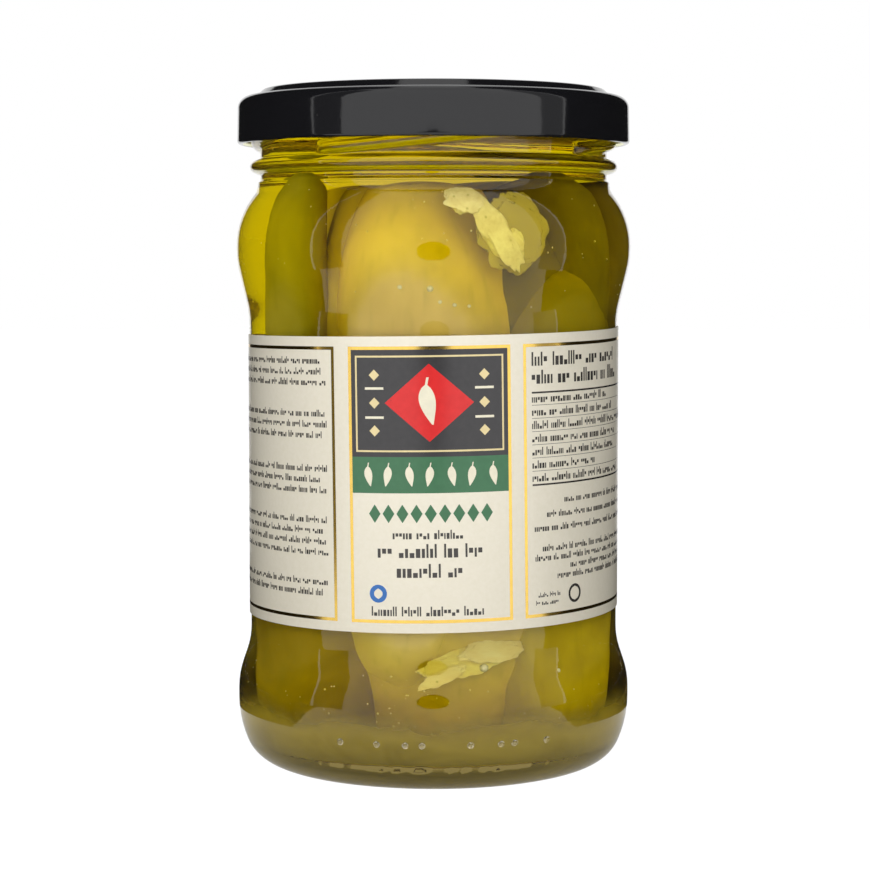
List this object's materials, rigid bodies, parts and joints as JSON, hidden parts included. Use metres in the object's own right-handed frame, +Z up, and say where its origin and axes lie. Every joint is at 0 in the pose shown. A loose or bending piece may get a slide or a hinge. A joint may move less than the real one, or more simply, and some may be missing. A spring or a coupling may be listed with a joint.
{
  "type": "jar of stuffed peppers",
  "caption": "Round glass jar with a black twist-off lid and a wrap-around paper label, filled with stuffed green peppers in oil.",
  "frame": {"origin": "centre of the circle on which the jar stands, at its base", "axes": "+Z up along the jar's axis; the label's front panel faces -Y; +X is to the right when the front is seen"},
  "size_m": [0.0694, 0.0694, 0.1183],
  "materials": {
    "clear_glass": "clear, smooth",
    "pepper_oil": "clear yellow-green oil",
    "black_lacquer": "gloss",
    "label_paper": "coated, slight gloss"
  },
  "bodies": {
    "root": {"jar": "clear_glass", "oil": "pepper_oil", "lid": "black_lacquer", "label": "label_paper"}
  },
  "joints": []
}
